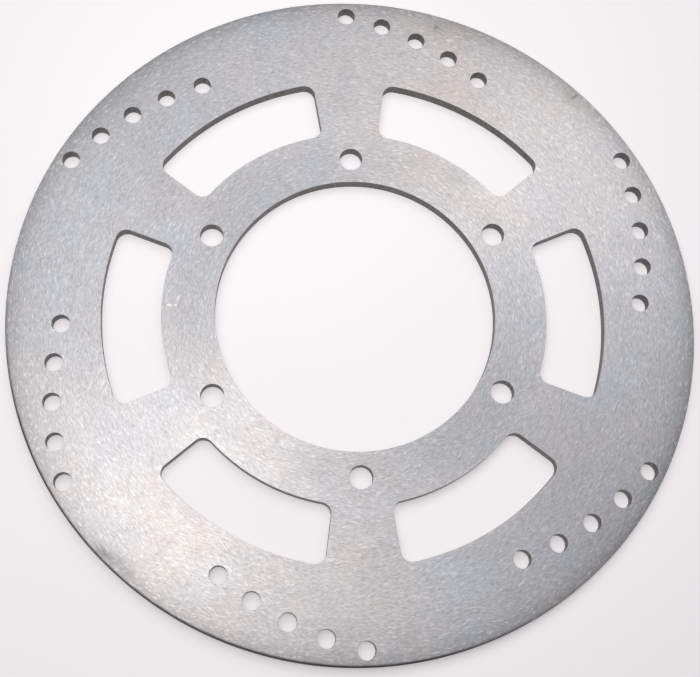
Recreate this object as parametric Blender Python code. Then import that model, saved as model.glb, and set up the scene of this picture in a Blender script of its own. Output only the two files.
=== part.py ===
"""One-piece brake disc rotor: a flat ground steel plate with a hub bore, six bolt holes,
six lightening windows and six curved rows of vent holes.

The disc lies flat. +Z is the disc's axis, the origin is the centre of the hub-side face,
and +X runs through the middle of a window.
"""

import math

import bmesh
import bpy

MM = 0.001

# Driving dimensions, in millimetres and degrees.
OUTER_DIAMETER = 250.0
THICKNESS = 5.0
BORE_DIAMETER = 102.0
EDGE_BREAK = 0.35

BOLT_COUNT = 6
BOLT_CIRCLE_DIAMETER = 120.0
BOLT_HOLE_DIAMETER = 8.5
FIRST_BOLT_ANGLE = 30.0

WINDOW_COUNT = 6
WINDOW_INNER_RADIUS = 70.0
WINDOW_OUTER_RADIUS = 91.5
WINDOW_HALF_ANGLE = 21.5
WINDOW_CORNER_RADIUS = 4.0

VENT_ROWS = 6
VENTS_PER_ROW = 5
VENT_HOLE_DIAMETER = 6.5
VENT_ARC_CENTRE_RADIUS = 28.6
VENT_ARC_CENTRE_ANGLE = 108.8
VENT_ARC_RADIUS = 117.2
VENT_ARC_START = 16.15
VENT_ARC_STEP = 7.0

# Straight sides in each round outline.
RIM_SIDES = 144
BORE_SIDES = 72
BOLT_HOLE_SIDES = 20
VENT_HOLE_SIDES = 16
WINDOW_OUTER_SIDES = 14
WINDOW_INNER_SIDES = 10
WINDOW_CORNER_SIDES = 5

STEEL_COLOUR = (0.56, 0.56, 0.57, 1.0)
STEEL_ROUGHNESS = 0.38
STEEL_METALLIC = 1.0

WELD_DISTANCE = 0.001 * MM
SHARP_EDGE_ANGLE = math.radians(30)


def clear_scene():
    for obj in list(bpy.data.objects):
        bpy.data.objects.remove(obj, do_unlink=True)


def polar(radius, degrees, centre=(0.0, 0.0)):
    angle = math.radians(degrees)
    return centre[0] + radius * math.cos(angle), centre[1] + radius * math.sin(angle)


def arc(centre, radius, start, end, sides):
    """Points from angle start to angle end, both included."""
    return [polar(radius, start + (end - start) * i / sides, centre) for i in range(sides + 1)]


def circle(centre, radius, sides):
    return arc(centre, radius, 0.0, 360.0, sides)[:-1]


def window(middle):
    """An arched slot between two radial sides, with filleted corners, centred on angle middle."""
    fillet = WINDOW_CORNER_RADIUS
    outer_centre_radius = WINDOW_OUTER_RADIUS - fillet
    inner_centre_radius = WINDOW_INNER_RADIUS + fillet
    outer_inset = math.degrees(math.asin(fillet / outer_centre_radius))
    inner_inset = math.degrees(math.asin(fillet / inner_centre_radius))
    outer_half = WINDOW_HALF_ANGLE - outer_inset
    inner_half = WINDOW_HALF_ANGLE - inner_inset
    first_side = middle - WINDOW_HALF_ANGLE
    last_side = middle + WINDOW_HALF_ANGLE
    origin = (0.0, 0.0)

    outer_last = polar(outer_centre_radius, middle + outer_half)
    inner_last = polar(inner_centre_radius, middle + inner_half)
    inner_first = polar(inner_centre_radius, middle - inner_half)
    outer_first = polar(outer_centre_radius, middle - outer_half)
    corner = WINDOW_CORNER_SIDES
    outer_edge = arc(
        origin, WINDOW_OUTER_RADIUS, middle - outer_half, middle + outer_half, WINDOW_OUTER_SIDES
    )
    inner_edge = arc(
        origin, WINDOW_INNER_RADIUS, middle + inner_half, middle - inner_half, WINDOW_INNER_SIDES
    )
    return (
        outer_edge[:-1]
        + arc(outer_last, fillet, middle + outer_half, last_side + 90.0, corner)
        + arc(inner_last, fillet, last_side + 90.0, middle + inner_half + 180.0, corner)[:-1]
        + inner_edge[:-1]
        + arc(inner_first, fillet, middle - inner_half + 180.0, first_side + 270.0, corner)
        + arc(outer_first, fillet, first_side - 90.0, middle - outer_half, corner)[:-1]
    )


def vent_centres():
    """Hole centres of one row, evenly spaced along an off-centre arc that sweeps in from the rim.

    The first hole is the one nearest the rim. It sits on a bolt hole's radial line.
    """
    centre = polar(VENT_ARC_CENTRE_RADIUS, VENT_ARC_CENTRE_ANGLE)
    return [
        polar(VENT_ARC_RADIUS, VENT_ARC_START - VENT_ARC_STEP * i, centre)
        for i in range(VENTS_PER_ROW)
    ]


def rotated(point, degrees):
    return polar(math.hypot(*point), math.degrees(math.atan2(point[1], point[0])) + degrees)


def outlines():
    """The rim first, then every hole through the plate."""
    found = [circle((0.0, 0.0), OUTER_DIAMETER / 2, RIM_SIDES)]
    found.append(circle((0.0, 0.0), BORE_DIAMETER / 2, BORE_SIDES))
    for i in range(BOLT_COUNT):
        centre = polar(BOLT_CIRCLE_DIAMETER / 2, FIRST_BOLT_ANGLE + 360.0 * i / BOLT_COUNT)
        found.append(circle(centre, BOLT_HOLE_DIAMETER / 2, BOLT_HOLE_SIDES))
    for i in range(WINDOW_COUNT):
        found.append(window(360.0 * i / WINDOW_COUNT))
    for row in range(VENT_ROWS):
        for centre in vent_centres():
            turned = rotated(centre, 360.0 * row / VENT_ROWS)
            found.append(circle(turned, VENT_HOLE_DIAMETER / 2, VENT_HOLE_SIDES))
    return found


def plate_curve():
    """A flat filled curve, extruded to the plate's thickness with a 45 degree break on each edge."""
    curve = bpy.data.curves.new("rotor_outline", "CURVE")
    curve.dimensions = "2D"
    curve.fill_mode = "BOTH"
    curve.extrude = (THICKNESS / 2 - EDGE_BREAK) * MM
    curve.bevel_depth = EDGE_BREAK * MM
    curve.bevel_resolution = 0
    curve.offset = -EDGE_BREAK * MM
    for points in outlines():
        spline = curve.splines.new("POLY")
        spline.points.add(len(points) - 1)
        for slot, (x, y) in zip(spline.points, points):
            slot.co = (x * MM, y * MM, 0.0, 1.0)
        spline.use_cyclic_u = True
    return curve


def steel():
    material = bpy.data.materials.new("ground_steel")
    material.use_nodes = True
    shader = material.node_tree.nodes["Principled BSDF"]
    shader.inputs["Base Color"].default_value = STEEL_COLOUR
    shader.inputs["Roughness"].default_value = STEEL_ROUGHNESS
    shader.inputs["Metallic"].default_value = STEEL_METALLIC
    material.diffuse_color = STEEL_COLOUR
    return material


def rotor_disc():
    outline = bpy.data.objects.new("rotor_outline", plate_curve())
    bpy.context.scene.collection.objects.link(outline)
    bpy.context.view_layer.update()
    mesh = bpy.data.meshes.new_from_object(outline.evaluated_get(bpy.context.evaluated_depsgraph_get()))
    bpy.data.objects.remove(outline, do_unlink=True)

    shape = bmesh.new()
    shape.from_mesh(mesh)
    bmesh.ops.remove_doubles(shape, verts=shape.verts, dist=WELD_DISTANCE)
    bmesh.ops.recalc_face_normals(shape, faces=shape.faces)
    shape.to_mesh(mesh)
    shape.free()
    mesh.name = "rotor_disc"
    mesh.materials.clear()
    mesh.materials.append(steel())
    mesh.shade_smooth()
    mesh.set_sharp_from_angle(angle=SHARP_EDGE_ANGLE)

    disc = bpy.data.objects.new("rotor_disc", mesh)
    disc.location = (0.0, 0.0, THICKNESS / 2 * MM)
    bpy.context.scene.collection.objects.link(disc)
    return disc


def main():
    clear_scene()
    rotor_disc()


main()
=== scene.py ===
"""A one-piece motorcycle brake disc of ground stainless steel, lying on a pale studio floor."""

import math

import bpy
import mathutils
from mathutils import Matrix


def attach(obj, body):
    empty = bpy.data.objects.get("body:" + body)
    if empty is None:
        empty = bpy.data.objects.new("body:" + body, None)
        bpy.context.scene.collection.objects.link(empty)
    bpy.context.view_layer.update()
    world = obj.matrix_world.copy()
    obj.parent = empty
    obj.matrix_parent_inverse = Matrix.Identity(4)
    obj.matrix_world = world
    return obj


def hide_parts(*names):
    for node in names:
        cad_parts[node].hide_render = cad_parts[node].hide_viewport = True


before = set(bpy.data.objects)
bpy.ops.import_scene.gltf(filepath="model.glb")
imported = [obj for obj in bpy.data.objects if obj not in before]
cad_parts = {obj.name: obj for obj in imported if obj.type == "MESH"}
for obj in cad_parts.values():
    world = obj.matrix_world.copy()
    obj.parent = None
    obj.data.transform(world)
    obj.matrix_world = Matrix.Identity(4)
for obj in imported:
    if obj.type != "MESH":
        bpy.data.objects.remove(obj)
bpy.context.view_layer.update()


# The brake disc. One flat plate of stainless steel, laser cut from sheet and then ground on both
# faces. Its middle bore sits on the hub, six bolts hold it, six windows take out weight, and
# six curved rows of vent holes clear water and dust from under the pads.
OUTER_RADIUS = 0.125
THICKNESS = 0.005
BORE_RADIUS = 0.051
EDGE_BREAK = 0.00035
RIM_ROLL_STEP = 0.0007
RIM_ROLL_RISES = (0.000033, 0.000020, 0.000007)

BOLT_HOLE_RADIUS = 0.00425
BOLT_CIRCLE_RADIUS = 0.060
FIRST_BOLT = math.radians(30)

VENT_HOLE_RADIUS = 0.00325
VENT_ARC_RADIUS = 0.1172
VENT_ARC_CENTRE_RADIUS = 0.0286
VENT_ARC_CENTRE_ANGLE = math.radians(108.8)
VENT_ARC_START = math.radians(16.15)
VENT_ARC_STEP = math.radians(7.0)

WINDOW_INNER_RADIUS = 0.070
WINDOW_OUTER_RADIUS = 0.0915
WINDOW_HALF_ANGLE = math.radians(21.5)
WINDOW_CORNER = 0.004

CUT_DEPTH = 3 * THICKNESS
SIXTH_TURN = math.radians(60)


def polar(radius, angle):
    return radius * math.cos(angle), radius * math.sin(angle)


def add_drill(radius, centre, sides):
    """A round cutter that goes right through the plate."""
    bpy.ops.mesh.primitive_cylinder_add(
        vertices=sides, radius=radius, depth=CUT_DEPTH, location=(*centre, THICKNESS / 2)
    )
    return bpy.context.object


def spin_on(centre, angle, steps):
    """Carries the selected end point of an outline anticlockwise round a centre, as an arc."""
    bpy.ops.mesh.spin(steps=steps, angle=angle, center=(*centre, 0.0), axis=(0.0, 0.0, -1.0))


def run_to(start, end):
    """Draws a straight side on from the selected end point of an outline."""
    bpy.ops.mesh.extrude_region_move(
        TRANSFORM_OT_translate={"value": (end[0] - start[0], end[1] - start[1], 0.0)}
    )


def select_only(objects):
    bpy.ops.object.select_all(action="DESELECT")
    for obj in objects:
        obj.select_set(True)
    bpy.context.view_layer.objects.active = objects[0]


def place_in_mesh(obj):
    """Leaves the object at the origin, with its place in its mesh."""
    select_only([obj])
    bpy.ops.object.transform_apply(location=True, rotation=True, scale=True)


bpy.ops.object.select_all(action="DESELECT")
bpy.ops.mesh.primitive_cylinder_add(
    vertices=360,
    radius=OUTER_RADIUS,
    depth=THICKNESS - 2 * sum(RIM_ROLL_RISES),
    location=(0.0, 0.0, THICKNESS / 2),
)
disc = bpy.context.object
disc.name = "brake_disc"
disc.data.name = "brake_disc"

# Blanking leaves both faces rolled off by a few hundredths of a millimetre at the rim, so the
# blank starts thin and each face rises in three narrow steps.
for side in (-1.0, 1.0):
    for rise in RIM_ROLL_RISES:
        bpy.ops.object.mode_set(mode="EDIT")
        bpy.ops.mesh.select_mode(type="FACE")
        bpy.ops.mesh.select_all(action="DESELECT")
        bpy.ops.object.mode_set(mode="OBJECT")
        outermost = max(disc.data.polygons, key=lambda face: side * face.center.z)
        outermost.select = True
        bpy.ops.object.mode_set(mode="EDIT")
        bpy.ops.mesh.inset(thickness=RIM_ROLL_STEP)
        bpy.ops.transform.translate(value=(0.0, 0.0, side * rise))
        bpy.ops.mesh.select_mode(type="VERT")
        bpy.ops.object.mode_set(mode="OBJECT")

cutters = [add_drill(BORE_RADIUS, (0.0, 0.0), 240)]
vent_arc_centre = polar(VENT_ARC_CENTRE_RADIUS, VENT_ARC_CENTRE_ANGLE)
for sixth in range(6):
    turn = sixth * SIXTH_TURN
    cutters.append(add_drill(BOLT_HOLE_RADIUS, polar(BOLT_CIRCLE_RADIUS, FIRST_BOLT + turn), 64))
    for step in range(5):
        along = polar(VENT_ARC_RADIUS, VENT_ARC_START - step * VENT_ARC_STEP)
        x = vent_arc_centre[0] + along[0]
        y = vent_arc_centre[1] + along[1]
        centre = polar(math.hypot(x, y), math.atan2(y, x) + turn)
        cutters.append(add_drill(VENT_HOLE_RADIUS, centre, 56))

# Half a window's outline is drawn from the middle of its outer edge: half that edge, a corner,
# the radial side, a corner and half the inner edge. It is then mirrored, filled and deepened.
outer_inset = math.asin(WINDOW_CORNER / (WINDOW_OUTER_RADIUS - WINDOW_CORNER))
inner_inset = math.asin(WINDOW_CORNER / (WINDOW_INNER_RADIUS + WINDOW_CORNER))
outer_corner = polar(WINDOW_OUTER_RADIUS - WINDOW_CORNER, WINDOW_HALF_ANGLE - outer_inset)
inner_corner = polar(WINDOW_INNER_RADIUS + WINDOW_CORNER, WINDOW_HALF_ANGLE - inner_inset)
side_start = polar(math.hypot(*outer_corner) * math.cos(outer_inset), WINDOW_HALF_ANGLE)
side_end = polar(math.hypot(*inner_corner) * math.cos(inner_inset), WINDOW_HALF_ANGLE)

bpy.ops.mesh.primitive_plane_add(size=0.001, location=(WINDOW_OUTER_RADIUS, 0.0, 0.0))
window = bpy.context.object
bpy.ops.object.mode_set(mode="EDIT")
bpy.ops.mesh.merge(type="CENTER")
spin_on((0.0, 0.0), WINDOW_HALF_ANGLE - outer_inset, 32)
spin_on(outer_corner, math.pi / 2 + outer_inset, 16)
run_to(side_start, side_end)
spin_on(inner_corner, math.pi / 2 - inner_inset, 16)
spin_on((0.0, 0.0), inner_inset - WINDOW_HALF_ANGLE, 24)
bpy.ops.mesh.select_all(action="SELECT")
bpy.ops.mesh.duplicate()
bpy.ops.transform.resize(value=(1.0, -1.0, 1.0), center_override=(0.0, 0.0, 0.0))
bpy.ops.mesh.select_all(action="SELECT")
bpy.ops.mesh.remove_doubles(threshold=0.000001)
bpy.ops.mesh.edge_face_add()
bpy.ops.mesh.extrude_region_move(TRANSFORM_OT_translate={"value": (0.0, 0.0, CUT_DEPTH)})
bpy.ops.mesh.select_all(action="SELECT")
bpy.ops.transform.translate(value=(0.0, 0.0, (THICKNESS - CUT_DEPTH) / 2))
bpy.ops.mesh.normals_make_consistent(inside=False)
bpy.ops.object.mode_set(mode="OBJECT")
place_in_mesh(window)
cutters.append(window)
for sixth in range(1, 6):
    select_only([window])
    bpy.ops.object.duplicate()
    bpy.ops.transform.rotate(
        value=sixth * SIXTH_TURN, orient_axis="Z", center_override=(0.0, 0.0, 0.0)
    )
    cutters.append(bpy.context.object)

select_only(cutters)
bpy.ops.object.join()
tooling = bpy.context.object
select_only([disc])
cut = disc.modifiers.new("cut_openings", "BOOLEAN")
cut.operation = "DIFFERENCE"
cut.solver = "EXACT"
cut.object = tooling
bpy.ops.object.modifier_apply(modifier=cut.name)
bpy.data.objects.remove(tooling)

# Every cut edge is broken with a small round, as a deburring wheel leaves it.
select_only([disc])
edge_break = disc.modifiers.new("edge_break", "BEVEL")
edge_break.width = EDGE_BREAK
edge_break.segments = 3
edge_break.limit_method = "ANGLE"
edge_break.angle_limit = math.radians(50)
bpy.ops.object.modifier_apply(modifier=edge_break.name)
bpy.ops.object.shade_smooth_by_angle(angle=math.radians(35))
flat_faces = disc.modifiers.new("flat_faces", "WEIGHTED_NORMAL")
flat_faces.keep_sharp = True
bpy.ops.object.modifier_apply(modifier=flat_faces.name)
place_in_mesh(disc)


def set_inputs(shader_node, inputs):
    """Gives each named or numbered input a plain value, or a link from another node's output."""
    for name, value in inputs.items():
        socket = shader_node.inputs[name]
        if isinstance(value, bpy.types.NodeSocket):
            shader_node.id_data.links.new(value, socket)
        else:
            socket.default_value = value
    return shader_node


def add_node(tree, kind, inputs, **settings):
    shader_node = tree.nodes.new(kind)
    for name, value in settings.items():
        setattr(shader_node, name, value)
    return set_inputs(shader_node, inputs)


def calculate(tree, operation, *values):
    inputs = dict(enumerate(values))
    return add_node(tree, "ShaderNodeMath", inputs, operation=operation).outputs[0]


def calculate_vector(tree, operation, *values):
    inputs = dict(enumerate(values))
    return add_node(tree, "ShaderNodeVectorMath", inputs, operation=operation).outputs["Vector"]


def measure_vector(tree, operation, *values):
    inputs = dict(enumerate(values))
    return add_node(tree, "ShaderNodeVectorMath", inputs, operation=operation).outputs["Value"]


def distance_from_axis(tree, position):
    return measure_vector(
        tree, "LENGTH", calculate_vector(tree, "MULTIPLY", position, (1.0, 1.0, 0.0))
    )


def ramp(tree, value, low, high, to_low=0.0, to_high=1.0):
    """Spreads a value's range from low to high over to_low to to_high, and clamps it there."""
    inputs = {
        "Value": value, "From Min": low, "From Max": high, "To Min": to_low, "To Max": to_high
    }
    return add_node(tree, "ShaderNodeMapRange", inputs).outputs[0]


def blend_colours(tree, factor, first, second, blend_type="MIX"):
    inputs = {0: factor, 6: first, 7: second}
    return add_node(
        tree, "ShaderNodeMix", inputs, data_type="RGBA", blend_type=blend_type
    ).outputs[2]


def new_group(name, inputs, outputs):
    """An empty shader node group with float, vector or colour sockets."""
    group = bpy.data.node_groups.new(name, "ShaderNodeTree")
    for socket_name, kind in inputs.items():
        group.interface.new_socket(socket_name, in_out="INPUT", socket_type=kind)
    for socket_name, kind in outputs.items():
        group.interface.new_socket(socket_name, in_out="OUTPUT", socket_type=kind)
    entry = group.nodes.new("NodeGroupInput").outputs
    result = group.nodes.new("NodeGroupOutput")
    return group, entry, result


def place_group(tree, group, inputs):
    placed = tree.nodes.new("ShaderNodeGroup")
    placed.node_tree = group
    return set_inputs(placed, inputs).outputs


# The grinding strokes: short scratches that run round the disc. The wheel leaves them in small
# overlapping patches, and each patch has its own slant.
PATCH_SPREAD = 90.0
strokes, entry, result = new_group(
    "grinding_strokes",
    {
        "Position": "NodeSocketVector",
        "Patch": "NodeSocketFloat",
        "Length": "NodeSocketFloat",
        "Width": "NodeSocketFloat",
        "Slant": "NodeSocketFloat",
        "Seed": "NodeSocketFloat",
    },
    {"Height": "NodeSocketFloat"},
)
flat_position = calculate_vector(strokes, "MULTIPLY", entry["Position"], (1.0, 1.0, 0.0))
shifted = calculate_vector(strokes, "ADD", flat_position, entry["Seed"])
patches = add_node(
    strokes,
    "ShaderNodeTexVoronoi",
    {"Vector": shifted, "Scale": calculate(strokes, "DIVIDE", 1.0, entry["Patch"])},
    voronoi_dimensions="2D",
)
patch_random = add_node(strokes, "ShaderNodeSeparateColor", {"Color": patches.outputs["Color"]})
patch_centre = calculate_vector(strokes, "SUBTRACT", patches.outputs["Position"], entry["Seed"])
centre_parts = add_node(strokes, "ShaderNodeSeparateXYZ", {"Vector": patch_centre}).outputs
round_angle = calculate(strokes, "ARCTAN2", centre_parts["Y"], centre_parts["X"])
own_slant = ramp(strokes, patch_random.outputs["Red"], 0.0, 1.0, -1.0, 1.0)
unwound = calculate(strokes, "MULTIPLY", round_angle, -1.0)
turn_back = calculate(strokes, "MULTIPLY_ADD", own_slant, entry["Slant"], unwound)
in_patch = add_node(
    strokes,
    "ShaderNodeVectorRotate",
    {
        "Vector": calculate_vector(strokes, "SUBTRACT", flat_position, patch_centre),
        "Center": (0.0, 0.0, 0.0),
        "Angle": turn_back,
    },
    rotation_type="Z_AXIS",
).outputs[0]
parts = add_node(strokes, "ShaderNodeSeparateXYZ", {"Vector": in_patch}).outputs
stretched = add_node(
    strokes,
    "ShaderNodeCombineXYZ",
    {
        "X": calculate(strokes, "DIVIDE", parts["X"], entry["Width"]),
        "Y": calculate(strokes, "DIVIDE", parts["Y"], entry["Length"]),
        "Z": calculate(strokes, "MULTIPLY", patch_random.outputs["Green"], PATCH_SPREAD),
    },
).outputs[0]
scratch = add_node(
    strokes,
    "ShaderNodeTexNoise",
    {"Vector": stretched, "Scale": 1.0, "Detail": 1.0, "Roughness": 0.5},
)
set_inputs(result, {"Height": scratch.outputs["Fac"]})

# The ground faces: bright satin steel. Each is crossed by three sizes of stroke, the coarse ones
# cutting deepest.
COARSE_DEPTH = 1.4
ALL_DEPTHS = COARSE_DEPTH + 2.0
COOL_GREY = (0.522, 0.533, 0.574, 1.0)
WARM_GREY = (0.581, 0.530, 0.515, 1.0)
# Painted glints and painted shade in the strokes.
PAINTED_GLINT = (0.78, 0.78, 0.79, 1.0)
PAINTED_STROKE_SHADE = (0.32, 0.33, 0.345, 1.0)
# Colour of the painted shade along one side of the rim edge.
RIM_SHADE_COLOUR = (0.06, 0.055, 0.06, 1.0)
# The axis of the painted warm reflection, where the highlight lies.
WARM_REFLECTION_AXIS = (0.57, 0.82, 0.0)
WARM_REFLECTION_SHARE = 0.55
# The side of the rim that carries the painted shade.
SHADED_RIM_SIDE = (-0.50, -0.866, 0.0)
DARKENED_EDGE_RADIUS = 0.1245
ground = bpy.data.materials.new("ground_face")
ground.use_nodes = True
tree = ground.node_tree
shader = tree.nodes["Principled BSDF"]
position = add_node(tree, "ShaderNodeTexCoord", {}).outputs["Object"]

coarse = place_group(tree, strokes, {
    "Position": position,
    "Patch": 0.0060,
    "Length": 0.0024,
    "Width": 0.00054,
    "Slant": 0.30,
    "Seed": 1.37,
})
medium = place_group(tree, strokes, {
    "Position": position,
    "Patch": 0.0045,
    "Length": 0.0017,
    "Width": 0.00038,
    "Slant": 0.40,
    "Seed": 5.71,
})
fine = place_group(tree, strokes, {
    "Position": position,
    "Patch": 0.0035,
    "Length": 0.0011,
    "Width": 0.00027,
    "Slant": 0.50,
    "Seed": 9.13,
})
height = calculate(tree, "MULTIPLY_ADD", coarse["Height"], COARSE_DEPTH, medium["Height"])
height = calculate(tree, "DIVIDE", calculate(tree, "ADD", height, fine["Height"]), ALL_DEPTHS)

# Its grey drifts from cool to warm in patches. It is warmest along one line across the disc, a
# painted warm reflection along the axis where the highlight lies.
drift = add_node(
    tree, "ShaderNodeTexNoise", {"Vector": position, "Scale": 38.0, "Detail": 3.0, "Roughness": 0.6}
).outputs["Fac"]
cloud = add_node(
    tree,
    "ShaderNodeTexNoise",
    {"Vector": position, "Scale": 120.0, "Detail": 2.0, "Roughness": 0.5},
).outputs["Fac"]
outward = calculate_vector(
    tree, "NORMALIZE", calculate_vector(tree, "MULTIPLY", position, (1.0, 1.0, 0.0))
)
along_warm_reflection = calculate(
    tree, "ABSOLUTE", measure_vector(tree, "DOT_PRODUCT", outward, WARM_REFLECTION_AXIS)
)
painted_warm_reflection = ramp(tree, along_warm_reflection, 0.60, 1.0, 0.0, WARM_REFLECTION_SHARE)
warm_patches = ramp(tree, drift, 0.38, 0.62, 0.0, 1.0 - WARM_REFLECTION_SHARE)
tint = blend_colours(
    tree, calculate(tree, "ADD", painted_warm_reflection, warm_patches), COOL_GREY, WARM_GREY
)

# The longest strokes carry bright and dark flecks in the colour: painted glints and painted shade
# where the strokes catch or miss the light.
glint_flecks = ramp(tree, calculate(tree, "MAXIMUM", coarse["Height"], medium["Height"]), 0.62, 0.75)
shade_flecks = ramp(tree, calculate(tree, "MINIMUM", coarse["Height"], medium["Height"]), 0.38, 0.27)
tone = ramp(tree, height, 0.35, 0.65, 0.84, 1.16)

# The base colour is darker over the outer part of the track, the last few millimetres most of all.
# The hub ring, inside the windows, is a little duller too.
radius = distance_from_axis(tree, position)
track_darkening = ramp(tree, radius, 0.108, DARKENED_EDGE_RADIUS, 1.0, 0.85)
rim_darkening = ramp(tree, radius, 0.1185, DARKENED_EDGE_RADIUS, 1.0, 0.78)
hub_dull = ramp(tree, radius, 0.0630, WINDOW_INNER_RADIUS, 0.94, 1.0)
colour_darkening = calculate(tree, "MULTIPLY", calculate(tree, "MULTIPLY", track_darkening, rim_darkening), hub_dull)
toned = blend_colours(tree, 1.0, tint, calculate(tree, "MULTIPLY", tone, colour_darkening), "MULTIPLY")
toned = blend_colours(tree, calculate(tree, "MULTIPLY", glint_flecks, 0.5), toned, PAINTED_GLINT)
toned = blend_colours(tree, calculate(tree, "MULTIPLY", shade_flecks, 0.35), toned, PAINTED_STROKE_SHADE)

# A dark line is painted along the very edge of one side: painted shade for the contact shadow and
# dark edge there.
towards_shaded_side = measure_vector(tree, "DOT_PRODUCT", outward, SHADED_RIM_SIDE)
on_shaded_side = ramp(tree, towards_shaded_side, 0.35, 0.75)
painted_rim_shade = calculate(tree, "MULTIPLY", on_shaded_side, ramp(tree, radius, 0.1239, 0.1246))
toned = blend_colours(tree, painted_rim_shade, toned, RIM_SHADE_COLOUR)

# A few marks from handling: each is a soft-edged spot with its place, half length, half width,
# turn, strength and shade.
HANDLING_MARKS = {
    "pit": (0.0347, 0.1149, 0.0011, 0.0008, 40, 0.75, 0.16),
    "pit_stain": (0.0352, 0.1143, 0.0040, 0.0022, -15, 0.35, 0.25),
    "rim_nick": (0.0874, 0.0862, 0.0019, 0.0006, 40, 0.80, 0.14),
    "nick_stain": (0.0858, 0.0850, 0.0045, 0.0028, -45, 0.40, 0.28),
    "hub_stain": (0.0390, 0.0529, 0.0065, 0.0035, -35, 0.30, 0.30),
    "rim_stain_long": (-0.0830, -0.0889, 0.0100, 0.0022, -47, 0.45, 0.20),
    "rim_stain_short": (-0.0893, -0.0843, 0.0050, 0.0015, -45, 0.60, 0.12),
    "scuff_left": (-0.0672, 0.0036, 0.0012, 0.0005, 5, 0.90, 0.95),
    "scuff_right": (-0.0640, 0.0062, 0.0013, 0.0004, 70, 0.80, 0.90),
    "scuff_middle": (-0.0650, 0.0035, 0.0006, 0.0005, 20, 0.90, 0.95),
    "bright_scratch": (0.0548, -0.0978, 0.0022, 0.0004, 40, 0.70, 0.85),
}
for mark_x, mark_y, half_length, half_width, turn, strength, shade in HANDLING_MARKS.values():
    from_mark = calculate_vector(tree, "SUBTRACT", position, (mark_x, mark_y, THICKNESS))
    along_mark = add_node(
        tree,
        "ShaderNodeVectorRotate",
        {"Vector": from_mark, "Center": (0.0, 0.0, 0.0), "Angle": -math.radians(turn)},
        rotation_type="Z_AXIS",
    ).outputs[0]
    half_sizes = (half_length, half_width, half_width)
    scaled = calculate_vector(tree, "DIVIDE", along_mark, half_sizes)
    spot = ramp(tree, measure_vector(tree, "LENGTH", scaled), 0.3, 1.3, strength, 0.0)
    stroke_gaps = ramp(tree, fine["Height"], 0.35, 0.6, 0.45, 1.0)
    broken = calculate(tree, "MULTIPLY", spot, stroke_gaps)
    toned = blend_colours(tree, broken, toned, (shade, shade, shade, 1.0))

rough = ramp(tree, cloud, 0.3, 0.7, 0.385, 0.415)
bump = add_node(
    tree, "ShaderNodeBump", {"Height": height, "Strength": 0.28, "Distance": 0.00008}
)
round_the_disc = add_node(tree, "ShaderNodeTangent", {}, direction_type="RADIAL", axis="Z")
set_inputs(shader, {
    "Base Color": toned,
    "Metallic": 1.0,
    "Roughness": rough,
    "Anisotropic": 0.8,
    "Anisotropic Rotation": 0.25,
    "Tangent": round_the_disc.outputs["Tangent"],
    "Normal": bump.outputs["Normal"],
})

# The broken edges: smoother steel. It is bright round the openings. Round the rim its colour is
# painted dark, painted shade for the dark edge and contact shadow along the rim.
edge = bpy.data.materials.new("broken_edge")
edge.use_nodes = True
tree = edge.node_tree
shader = tree.nodes["Principled BSDF"]
position = add_node(tree, "ShaderNodeTexCoord", {}).outputs["Object"]
nibble = add_node(
    tree, "ShaderNodeTexNoise", {"Vector": position, "Scale": 900.0, "Detail": 2.0}
).outputs["Fac"]
bright_edge = blend_colours(
    tree, ramp(tree, nibble, 0.3, 0.7), (0.34, 0.34, 0.35, 1.0), (0.50, 0.50, 0.51, 1.0)
)
# Painted shade: the rim's broken edge is coloured dark.
rim_edge_shade = ramp(tree, distance_from_axis(tree, position), 0.1235, 0.1240)
set_inputs(shader, {
    "Base Color": blend_colours(tree, rim_edge_shade, bright_edge, (0.10, 0.095, 0.10, 1.0)),
    "Metallic": 1.0,
    "Roughness": 0.35,
})

# The cut walls: left as the laser cut them, dark and matt with fine upright lines.
wall = bpy.data.materials.new("cut_wall")
wall.use_nodes = True
tree = wall.node_tree
shader = tree.nodes["Principled BSDF"]
position = add_node(tree, "ShaderNodeTexCoord", {}).outputs["Object"]
upright = calculate_vector(tree, "MULTIPLY", position, (1.0, 1.0, 0.08))
lines = add_node(
    tree, "ShaderNodeTexNoise", {"Vector": upright, "Scale": 2600.0, "Detail": 2.0}
).outputs["Fac"]
wall_colour = blend_colours(
    tree, ramp(tree, lines, 0.3, 0.7), (0.10, 0.098, 0.095, 1.0), (0.20, 0.195, 0.19, 1.0)
)
wall_bump = add_node(
    tree, "ShaderNodeBump", {"Height": lines, "Strength": 0.4, "Distance": 0.00005}
)
set_inputs(shader, {
    "Base Color": wall_colour,
    "Metallic": 0.75,
    "Roughness": 0.5,
    "Normal": wall_bump.outputs["Normal"],
})

# Each face gets its finish from how level it lies.
LEVEL_ENOUGH = 0.99
WALL_LEAN = 0.2
disc.data.materials.clear()
for material in (ground, edge, wall):
    disc.data.materials.append(material)
for face in disc.data.polygons:
    upright_part = abs(face.normal.z)
    if upright_part > LEVEL_ENOUGH:
        face.material_index = 0
    elif upright_part > WALL_LEAN:
        face.material_index = 1
    else:
        face.material_index = 2

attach(disc, "root")
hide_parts("rotor_disc")
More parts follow.
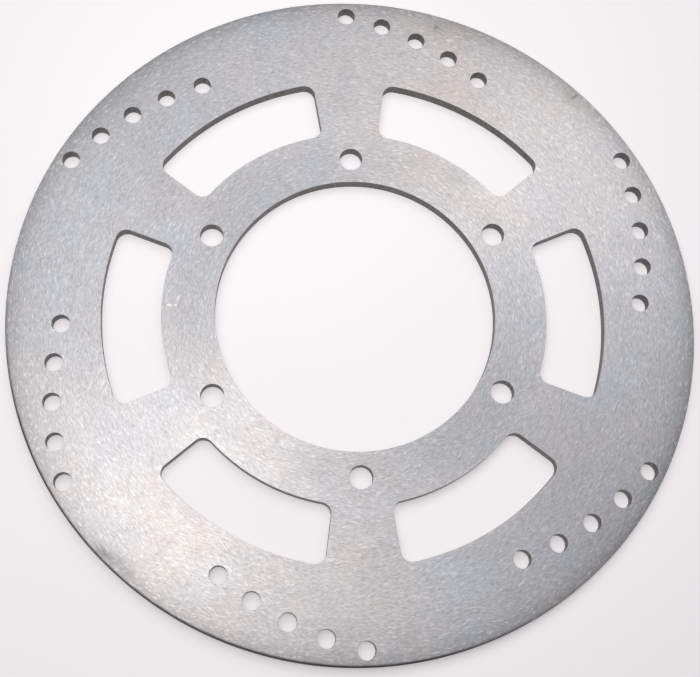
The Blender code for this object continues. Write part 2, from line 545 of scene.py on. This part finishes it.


# The floor: a pale table top whose glow is painted light, brightest a little behind the bore,
# standing in for light that falls on the floor. It takes a soft shadow.
TABLE_SIZE = 4.0
TABLE_GAP = 0.0001
# Centre of the painted glow on the floor.
PAINTED_GLOW_CENTRE = (-0.03, 0.06, 0.0)
bpy.ops.mesh.primitive_plane_add(size=TABLE_SIZE, location=(0.0, 0.0, -TABLE_GAP))
floor = bpy.context.object
floor.name = "table_top"
table = bpy.data.materials.new("pale_floor_painted_glow")
table.use_nodes = True
tree = table.node_tree
position = add_node(tree, "ShaderNodeTexCoord", {}).outputs["Object"]
from_painted_glow_centre = calculate_vector(tree, "SUBTRACT", position, PAINTED_GLOW_CENTRE)
set_inputs(tree.nodes["Principled BSDF"], {
    "Base Color": (0.86, 0.82, 0.835, 1.0),
    "Roughness": 0.8,
    "Specular IOR Level": 0.2,
    # The emission is painted light: a glow that is brightest near the centre of the painted glow.
    "Emission Color": (1.0, 0.955, 0.965, 1.0),
    "Emission Strength": ramp(
        tree, distance_from_axis(tree, from_painted_glow_centre), 0.05, 0.30, 0.545, 0.375
    ),
})
floor.data.materials.append(table)


# The studio light: a ring of soft boxes round the table, all aimed at the disc. Each is given by
# its bearing and height as seen from the disc, its width and its power.
LIGHT_DISTANCE = 1.1
SOFTBOXES = {
    "left_overhead": (180, 78, 0.35, 1.3),
    "back_high": (90, 60, 0.45, 1.0),
    "back_left_high": (135, 60, 0.45, 0.9),
    "back_right_high": (45, 60, 0.45, 0.7),
    "overhead": (0, 90, 0.35, 0.7),
    "left_high": (180, 60, 0.45, 0.65),
    "right_overhead": (60, 78, 0.35, 0.6),
    "back_right_low": (45, 38, 0.50, 0.55),
    "front_right_high": (315, 60, 0.45, 0.2),
}
for name, (bearing, elevation, width, power) in SOFTBOXES.items():
    level, up = polar(LIGHT_DISTANCE, math.radians(elevation))
    place = mathutils.Vector((*polar(level, math.radians(bearing)), up))
    aim = place.to_track_quat("Z", "Y").to_euler()
    bpy.ops.object.light_add(type="AREA", location=place, rotation=aim)
    softbox = bpy.context.object
    softbox.name = name
    softbox.data.shape = "SQUARE"
    softbox.data.size = width
    softbox.data.energy = power

world = bpy.data.worlds.new("pale_room")
bpy.context.scene.world = world
world.use_nodes = True
set_inputs(
    world.node_tree.nodes["Background"], {"Color": (1.0, 0.99, 0.985, 1.0), "Strength": 0.02}
)


# The camera looks down at the disc from a little in front of it.
bpy.ops.object.camera_add(
    location=(-0.0413, -0.1362, 0.4675),
    rotation=(math.radians(15.402), math.radians(-4.323), math.radians(-1.738)),
)
camera = bpy.context.object
camera.data.sensor_width = 36.0
camera.data.lens = 68.61
camera.data.clip_start = 0.01
bpy.context.scene.camera = camera
bpy.context.scene.view_settings.view_transform = "Standard"
